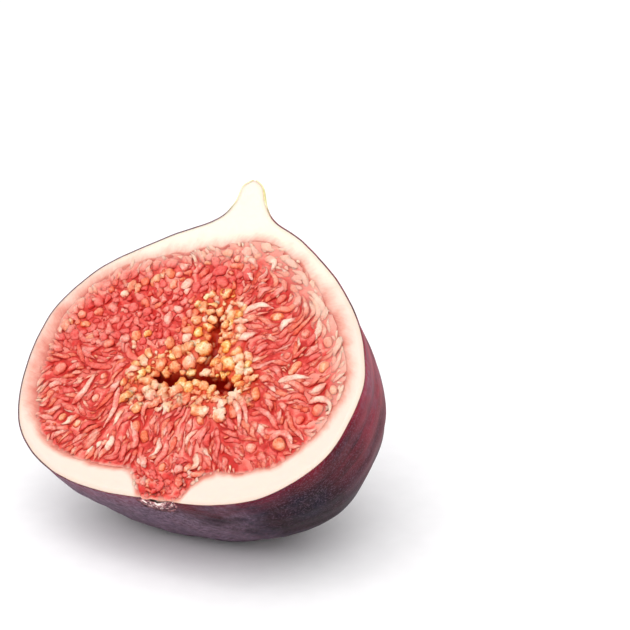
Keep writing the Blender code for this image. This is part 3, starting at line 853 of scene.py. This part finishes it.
def add(tree, kind, inputs=None, output=0, stops=(), **settings):
    """One output of a new node with its settings, its ramp's stops and its inputs as values or links."""
    node = tree.nodes.new("ShaderNode" + kind)
    for name, value in settings.items():
        setattr(node, name, value)
    for name, value in (inputs or {}).items():
        if isinstance(value, bpy.types.NodeSocket):
            tree.links.new(value, node.inputs[name])
        else:
            node.inputs[name].default_value = value
    if stops:
        elements = node.color_ramp.elements
        elements.remove(elements[1])
        elements[0].position, elements[0].color = stops[0][0], colour(stops[0][1])
        for place, code in stops[1:]:
            elements.new(place).color = colour(code)
    return node.outputs[output]


FACTOR, FIRST, SECOND = 0, 6, 7  # the inputs of a Mix node that mixes colours
BLENDED = {"output": 2, "data_type": "RGBA"}  # its output and setting


def new_material(name, **constants):
    """A material with its Principled shader's constant values set, and the way to add nodes to it."""
    made = bpy.data.materials.new(name)
    made.use_nodes = True
    shader = made.node_tree.nodes["Principled BSDF"]
    for socket, value in constants.items():
        shader.inputs[socket.replace("_", " ")].default_value = value
    return made, partial(add, made.node_tree)


def finish(made, **outputs):
    """The material, with each output linked to the shader's socket of that name."""
    shader = made.node_tree.nodes["Principled BSDF"]
    for socket, output in outputs.items():
        made.node_tree.links.new(output, shader.inputs[socket.replace("_", " ")])
    return made


def waxy_fig_peel():
    """Fig peel: thin plum skin, dulled to lilac by a pale wax bloom that hands have partly rubbed away."""
    made, put = new_material(
        "waxy_fig_peel", IOR=1.4, Specular_IOR_Level=0.08, Metallic=0, Subsurface_Weight=0.05,
        Subsurface_Scale=0.5 * MM,
    )
    spread = put("Attribute", output="Vector", attribute_name="skin_mm")
    around, along, depth = put("SeparateXYZ", {"Vector": spread}).node.outputs
    place = put("TexCoord", output="Object")
    # By size in millimetres, detail and roughness: blotches of pigment, bluer patches, patches of bloom,
    # and the bloom's grain and specks.
    blotches, bluer, patches, grain, specks = (
        put("TexNoise", {"Vector": place, "Scale": 1 / (size * MM), "Detail": detail, "Roughness": rough})
        for size, detail, rough in ((9, 4, 0.6), (7, 3, 0.5), (11, 5, 0.7), (0.6, 3, 0.8), (0.32, 2, 0.7))
    )

    # Pigment gathers in lines from eye to stalk, 1.6 mm apart and ten times as long as wide.
    drawn_out = put("Math", {0: along, 1: 0.1}, operation="MULTIPLY")
    along_lines = put("CombineXYZ", {"X": around, "Y": drawn_out})
    drawn = {"Vector": along_lines, "Scale": 1 / 1.6, "Detail": 6, "Roughness": 0.7, "Distortion": 0.6}
    lines = put("TexNoise", drawn)
    even = put("Math", {0: blotches, 1: 0.6}, operation="MULTIPLY")
    pigment = put("Math", {0: lines, 1: 0.4, 2: even}, operation="MULTIPLY_ADD")
    stops = (0.34, "#0E0407"), (0.46, "#19070E"), (0.57, "#2A0E18"), (0.72, "#441A28")
    skin = put("ValToRGB", {"Fac": pigment}, stops=stops)
    blue = put("MapRange", {"Value": bluer, "From Min": 0.45, "From Max": 0.62, "To Max": 0.7})

    # Red shows through on the right shoulder, where it also stands for painted rim light, and a little all
    # along the cut.
    shoulder = put("MapRange", {"Value": along, "From Min": 18.0, "From Max": 32.0})
    right = put("MapRange", {"Value": around, "From Min": 20.0, "From Max": 6.0})
    red_and_rim_lit_shoulder = put("Math", {0: shoulder, 1: right}, operation="MULTIPLY")
    by_cut = put("MapRange", {"Value": depth, "From Min": 5.0, "From Max": 0.0, "To Max": 0.4})
    glow = put("Math", {0: red_and_rim_lit_shoulder, 1: by_cut}, operation="MAXIMUM")
    patchy = put("MapRange", {"Value": pigment, "From Min": 0.4, "From Max": 0.58, "To Min": 0.2})
    glow = put("Math", {0: glow, 1: patchy}, operation="MULTIPLY")

    # The bloom is thickest at the left, by the eye and toward the stalk. Scratches half a millimetre wide
    # run across the lines and break it, and so does its grain.
    across = put("Math", {0: around, 1: 0.12}, operation="MULTIPLY")
    scratch_way = put("CombineXYZ", {"X": across, "Y": along})
    scratched = {"Vector": scratch_way, "Scale": 1 / 0.5, "Detail": 3, "Roughness": 0.6, "Distortion": 0.4}
    scratches = put("TexNoise", scratched)
    left = {"Value": around, "From Min": 12.0, "From Max": 70.0, "To Min": -0.22, "To Max": 0.13}
    left = put("MapRange", left)
    by_eye = put("MapRange", {"Value": along, "From Min": 16.0, "From Max": 9.0, "To Max": 0.2})
    on_shoulder = put("Math", {0: shoulder, 1: 0.22, 2: by_eye}, operation="MULTIPLY_ADD")
    lifted = put("Math", {0: left, 1: on_shoulder}, operation="ADD")
    lifted = put("Math", {0: patches, 1: lifted}, operation="ADD")
    dust = put("MapRange", {"Value": lifted, "From Min": 0.42, "From Max": 0.68, "To Max": 0.68})
    broken = put("Math", {0: grain, 1: scratches}, operation="MULTIPLY")
    broken = put("MapRange", {"Value": broken, "From Min": 0.15, "From Max": 0.36, "To Min": 0.25})
    dust = put("Math", {0: dust, 1: broken}, operation="MULTIPLY")
    specks = put("MapRange", {"Value": specks, "From Min": 0.5, "From Max": 0.72, "To Max": 0.32})
    dust = put("Math", {0: dust, 1: specks}, operation="MAXIMUM")

    # The neck stays pale green, and purple runs up it in lines.
    climb = put("Math", {0: lines, 1: 12.0, 2: along}, operation="MULTIPLY_ADD")
    neck = put("MapRange", {"Value": climb, "From Min": 62.0, "From Max": 69.0})
    stops = (0.35, "#C9C07E"), (0.5, "#E2DCA6"), (0.65, "#F1EDCB")
    green = put("ValToRGB", {"Fac": lines}, stops=stops)

    # Over the plum lie the blue, the red, partly painted rim light, and the lilac dust. The peel's cut edge
    # is a thin brown line.
    inner = put("Attribute", output="Fac", attribute_name="inner")
    layers = (
        (blue, colour("#1A1426")),
        (glow, colour("#A4263A")),
        (dust, colour("#947A8E")),
        (inner, colour("#5E3A38")),
        (neck, green),
    )
    for share, over in layers:
        skin = put("Mix", {FACTOR: share, FIRST: skin, SECOND: over}, **BLENDED)
    # Where the bloom lies the skin is duller.
    rough = put("MapRange", {"Value": dust, "From Max": 0.5, "To Min": 0.45, "To Max": 0.65})
    fine = put("Bump", {"Strength": 0.35, "Distance": 0.08 * MM, "Height": grain})
    relief = put("Bump", {"Strength": 0.5, "Distance": 0.25 * MM, "Height": pigment, "Normal": fine})
    return finish(made, Base_Color=skin, Roughness=rough, Normal=relief)


def cut_fig_flesh():
    """Fig flesh, cut with a knife: moist, cream, a little see-through, with pink drawn out of the pulp."""
    made, put = new_material(
        "cut_fig_flesh", IOR=1.4, Roughness=0.38, Metallic=0, Subsurface_Weight=0.6,
        Subsurface_Radius=(1.0, 0.55, 0.4), Subsurface_Scale=0.9 * MM, Coat_Weight=0.15,
        Coat_Roughness=0.25,
    )
    spread = put("Attribute", output="Vector", attribute_name="cut_mm")
    arc, inside, from_peel = put("SeparateXYZ", {"Vector": spread}).node.outputs
    place = put("TexCoord", output="Object")

    # Strands show faintly through the flesh: streaks about 1 mm wide that lean away from the pulp.
    lean = put("Math", {0: inside, 1: 0.9, 2: arc}, operation="MULTIPLY_ADD")
    drawn_out = put("Math", {0: inside, 1: 0.5}, operation="MULTIPLY")
    leaning = put("CombineXYZ", {"X": lean, "Y": drawn_out})
    streaked = {"Vector": leaning, "Scale": 1 / 1.1, "Detail": 4, "Roughness": 0.65, "Distortion": 1.5}
    streaks = put("TexNoise", streaked)
    # Patches 3 mm across, where the pink runs further or less far.
    mottle = put("TexNoise", {"Vector": place, "Scale": 1 / (3 * MM), "Detail": 4, "Roughness": 0.6})
    both = put("Math", {0: streaks, 1: 0.6, 2: mottle}, operation="MULTIPLY_ADD")
    uneven = {"Value": both, "From Min": 0.5, "From Max": 1.1, "To Min": -0.6, "To Max": 0.6}
    uneven = put("MapRange", uneven)
    depth = put("Math", {0: inside, 1: uneven}, operation="SUBTRACT")
    pinkness = put("MapRange", {"Value": depth, "From Min": -0.7, "From Max": 2.3})
    stops = (0.02, "#BA584A"), (0.2, "#CA7666"), (0.45, "#D8A090"), (0.75, "#E2C2B4"), (0.97, "#E2CBBE")
    flesh = put("ValToRGB", {"Fac": pinkness}, stops=stops)

    # It is paler by the stalk, and browner beside the peel.
    pale = put("Attribute", output="Fac", attribute_name="pale")
    pale = put("Math", {0: pale, 1: pinkness}, operation="MULTIPLY")
    edge = put("MapRange", {"Value": from_peel, "From Max": 0.7, "To Min": 0.4, "To Max": 0.0})
    for share, over in ((pale, "#E8DECD"), (edge, "#DDB49C")):
        flesh = put("Mix", {FACTOR: share, FIRST: flesh, SECOND: colour(over)}, **BLENDED)
    pores = put("TexNoise", {"Vector": place, "Scale": 1 / (1.1 * MM), "Detail": 4})
    relief = put("Bump", {"Strength": 0.25, "Distance": 0.08 * MM, "Height": pores})
    return finish(made, Base_Color=flesh, Normal=relief)


def wet_fig_jelly():
    """Fig pulp torn open by the knife: red jelly full of juice, with pale fibres combed through it."""
    made, put = new_material(
        "wet_fig_jelly", IOR=1.38, Specular_IOR_Level=0.3, Roughness=0.4, Metallic=0,
        Subsurface_Weight=0.6, Subsurface_Radius=(1.0, 0.35, 0.25), Subsurface_Scale=0.8 * MM,
        Coat_Weight=0.08, Coat_Roughness=0.25,
    )
    place = put("TexCoord", output="Object")
    combed_in, warm, by_flesh, sunk = (
        put("Attribute", output="Fac", attribute_name=mark) for mark in ("fibre", "warm", "rim", "sunk")
    )
    # Its cells, 1.2 mm across, make the fibres uneven.
    cells = put("TexNoise", {"Vector": place, "Scale": 1 / (1.2 * MM), "Detail": 5, "Roughness": 0.7})
    grain = {"Value": cells, "From Min": 0.3, "From Max": 0.7, "To Min": -0.3, "To Max": 0.3}
    grain = put("MapRange", grain)
    fibre = put("Math", {0: combed_in, 1: 0.25, 2: grain}, operation="MULTIPLY_ADD")
    fibre = put("Math", {0: fibre, 1: 0.5}, operation="ADD")
    stops = (0.1, "#BA2620"), (0.35, "#CC3C34"), (0.6, "#DA5A50"), (0.9, "#E48E7E")
    red = put("ValToRGB", {"Fac": fibre}, stops=stops)

    # Over it lie pools of clearer juice 5 mm across, orange by the heart, the flesh's pink, and darker red
    # down in the hollow as painted shade.
    pools = put("TexNoise", {"Vector": place, "Scale": 1 / (5 * MM), "Detail": 2})
    pool = put("MapRange", {"Value": pools, "From Min": 0.48, "From Max": 0.66, "To Max": 0.7})
    near_heart = put("Math", {0: warm, 1: 0.75}, operation="MULTIPLY")
    pink = put("MapRange", {"Value": by_flesh, "From Min": 0.2, "To Max": 0.9})
    # Painted shade: darker red where the jelly lies down in the hollow.
    hollow_shade = put("MapRange", {"Value": sunk, "From Min": 0.15, "From Max": 0.6})
    for share, over in ((pool, "#C8261E"), (near_heart, "#D4501C"), (pink, "#E2A696"), (hollow_shade, "#B01808")):
        red = put("Mix", {FACTOR: share, FIRST: red, SECOND: colour(over)}, **BLENDED)
    relief = put("Bump", {"Strength": 0.5, "Distance": 0.2 * MM, "Height": cells})
    return finish(made, Base_Color=red, Normal=relief)


def juicy_florets():
    """Fig florets, swollen with juice: red where they meet the jelly, partly painted shade, and pale on
    their backs, partly painted highlight; orange near the heart.
    """
    made, put = new_material(
        "juicy_florets", IOR=1.4, Specular_IOR_Level=0.25, Roughness=0.5, Metallic=0,
        Subsurface_Weight=0.7, Subsurface_Radius=(1.0, 0.4, 0.3), Subsurface_Scale=0.9 * MM,
        Coat_Weight=0.04, Coat_Roughness=0.25,
    )
    place = put("TexCoord", output="Object")
    fibre, back, tone, warm, by_flesh, sunk = (
        put("Attribute", output="Fac", attribute_name=mark)
        for mark in ("fibre", "crest", "tone", "warm", "rim", "sunk")
    )
    # Their cells, 0.8 mm across, make the backs uneven.
    cells = put("TexNoise", {"Vector": place, "Scale": 1 / (0.8 * MM), "Detail": 5, "Roughness": 0.75})
    grain = {"Value": cells, "From Min": 0.3, "From Max": 0.7, "To Min": -0.45, "To Max": 0.3}
    grain = put("MapRange", grain)
    back = put("Math", {0: fibre, 1: 0.1, 2: back}, operation="MULTIPLY_ADD")
    back = put("Math", {0: back, 1: grain}, operation="ADD")
    # Each ramp runs from red at a floret's foot to pale on its crest: their own colours, with painted shade
    # at the foot and painted highlight on the crest.
    ramps = (
        ((0.0, "#A81C16"), (0.2, "#C02C26"), (0.5, "#D04640"), (0.9, "#DC6860")),
        ((0.0, "#AC2A20"), (0.2, "#CA4C40"), (0.5, "#DC7466"), (0.85, "#E49688"), (1.0, "#E8AEA0")),
        ((0.0, "#B4340E"), (0.25, "#D4601E"), (0.55, "#E28E3E"), (0.85, "#EEBC74"), (1.0, "#F4DCAA")),
    )
    red, pale, orange = (put("ValToRGB", {"Fac": back}, stops=stops) for stops in ramps)

    # The palest are drained of juice along their backs, paler still on the crest as painted highlight, and
    # those beside the flesh fade into it.
    drained = put("MapRange", {"Value": tone, "From Min": 0.9, "From Max": 1.5, "To Max": 0.9})
    drained = put("Math", {0: drained, 1: back}, operation="MULTIPLY")
    pink = put("Math", {0: by_flesh, 1: 0.9}, operation="MULTIPLY")
    # Painted shade: darker red where the florets lie down in the hollow.
    hollow_shade = put("MapRange", {"Value": sunk, "From Min": 0.08, "From Max": 0.32})

    # Fine creases wander over them, 1.3 mm from bend to bend.
    bends = {"Vector": place, "Scale": 1 / (1.3 * MM), "Detail": 4, "Roughness": 0.6, "Distortion": 1.0}
    wander = put("TexNoise", bends)
    off = put("Math", {0: wander, 1: 0.5}, operation="SUBTRACT")
    off = put("Math", {0: off}, operation="ABSOLUTE")
    crease = put("MapRange", {"Value": off, "From Max": 0.02, "To Min": 0.5, "To Max": 0.0})
    clear = put("Math", {0: by_flesh, 1: -0.8, 2: 1.0}, operation="MULTIPLY_ADD")
    crease = put("Math", {0: crease, 1: clear}, operation="MULTIPLY")

    shade = red
    layers = (
        (tone, pale),
        (warm, orange),
        (drained, colour("#F0D2BE")),
        (pink, colour("#E8C2AE")),
        (hollow_shade, colour("#B42814")),
        (crease, colour("#A02C1E")),
    )
    for share, over in layers:
        shade = put("Mix", {FACTOR: share, FIRST: shade, SECOND: over}, **BLENDED)
    relief = put("Bump", {"Strength": 0.8, "Distance": 0.15 * MM, "Height": cells})
    return finish(made, Base_Color=shade, Normal=relief)


def dry_eye_scales():
    """The eye's scales: papery, dark brown-pink at the root and pale at the tip."""
    made, put = new_material("dry_eye_scales", IOR=1.45, Roughness=0.7, Metallic=0)
    place = put("TexCoord", output="Object")
    fibres = put("TexNoise", {"Vector": place, "Scale": 1 / (0.6 * MM), "Detail": 3})
    worn = {"Value": fibres, "From Min": 0.3, "From Max": 0.7, "To Min": -0.25, "To Max": 0.25}
    worn = put("MapRange", worn)
    # Darker toward each scale's root and pale at its tip.
    length = put("Attribute", output="Fac", attribute_name="dryness")
    dry = put("Math", {0: length, 1: worn}, operation="ADD")
    stops = (0.0, "#3E1E2A"), (0.4, "#7A4048"), (0.7, "#C0888A"), (0.95, "#F0DAD4")
    shade = put("ValToRGB", {"Fac": dry}, stops=stops)
    relief = put("Bump", {"Strength": 0.5, "Distance": 0.1 * MM, "Height": fibres})
    return finish(made, Base_Color=shade, Normal=relief)


def white_table():
    """A white board, matt and finely worn, that keeps the shadow soft."""
    made, put = new_material("white_table", Roughness=0.7, IOR=1.45, Metallic=0)
    place = put("TexCoord", output="Object")
    wear = put("TexNoise", {"Vector": place, "Scale": 1 / (4 * MM), "Detail": 4})
    white = put("ValToRGB", {"Fac": wear}, stops=((0.3, "#F5F4F5"), (0.7, "#F8F7F8")))
    return finish(made, Base_Color=white)


# ---------------- the studio

VIEW_AZIMUTH, VIEW_ELEVATION = math.radians(35.54), math.radians(22)
FACE_POINT = np.array([-0.44, 20.07, 0.0])
AIM_OFFSET = (19.07 * MM, 10.68 * MM)  # how far right of and above the face's middle the camera aims
VIEW_DISTANCE = 396.66 * MM
FIELD_OF_VIEW = math.radians(13.82)
NEAREST, FARTHEST = 0.01, 20  # metres that the camera sees
TABLE_HALF = 3.0  # metres from its middle to its edge
LIT_POINT = Vector((0, 0, 0.02))  # in the fruit, in metres


def view_axes():
    """The camera's right, up and back directions."""
    ca, sa = math.cos(VIEW_AZIMUTH), math.sin(VIEW_AZIMUTH)
    ce, se = math.cos(VIEW_ELEVATION), math.sin(VIEW_ELEVATION)
    return Vector((ca, sa, 0)), Vector((-sa * se, ca * se, ce)), Vector((sa * ce, -ca * ce, se))


def add_camera():
    """A long lens that looks a little down at the cut face."""
    right, up, back = view_axes()
    data = bpy.data.cameras.new("camera")
    data.angle = FIELD_OF_VIEW
    data.clip_start, data.clip_end = NEAREST, FARTHEST
    camera = bpy.data.objects.new("camera", data)
    aim = Vector(fruit_to_table(FACE_POINT)) + right * AIM_OFFSET[0] + up * AIM_OFFSET[1]
    turn = Matrix((right, up, back)).transposed().to_4x4()
    camera.matrix_world = Matrix.Translation(aim + back * VIEW_DISTANCE) @ turn
    bpy.context.scene.collection.objects.link(camera)
    bpy.context.scene.camera = camera


def add_softbox(name, place, size, power):
    """A square soft light at a place in metres, facing the fruit."""
    data = bpy.data.lights.new(name, "AREA")
    data.size = size
    data.energy = power
    lamp = bpy.data.objects.new(name, data)
    lamp.location = place
    lamp.rotation_euler = (LIT_POINT - Vector(place)).to_track_quat("-Z", "Y").to_euler()
    bpy.context.scene.collection.objects.link(lamp)


def add_studio():
    """The white table, a pale room round it, a broad light overhead and a weak one in front."""
    mesh = bpy.data.meshes.new("table")
    corners = [(x * TABLE_HALF, y * TABLE_HALF, 0) for x, y in ((-1, -1), (1, -1), (1, 1), (-1, 1))]
    mesh.from_pydata(corners, [], [(0, 1, 2, 3)])
    mesh.materials.append(white_table())
    table = bpy.data.objects.new("table", mesh)
    bpy.context.scene.collection.objects.link(table)
    world = bpy.data.worlds.new("pale_room")
    world.use_nodes = True
    sky = world.node_tree.nodes["Background"].inputs
    sky["Color"].default_value = (1, 1, 1, 1)
    sky["Strength"].default_value = 1.0
    bpy.context.scene.world = world
    add_softbox("overhead", (0.1, -0.3, 0.5), 0.5, 1.9)
    add_softbox("front", (-0.35, -0.5, 0.4), 0.12, 0.2)
    bpy.context.scene.view_settings.view_transform = "Standard"


def main():
    add_camera()
    add_studio()
    add_peel(waxy_fig_peel())
    add_flesh(cut_fig_flesh())
    add_pulp(wet_fig_jelly(), juicy_florets())
    add_eye(dry_eye_scales())


main()
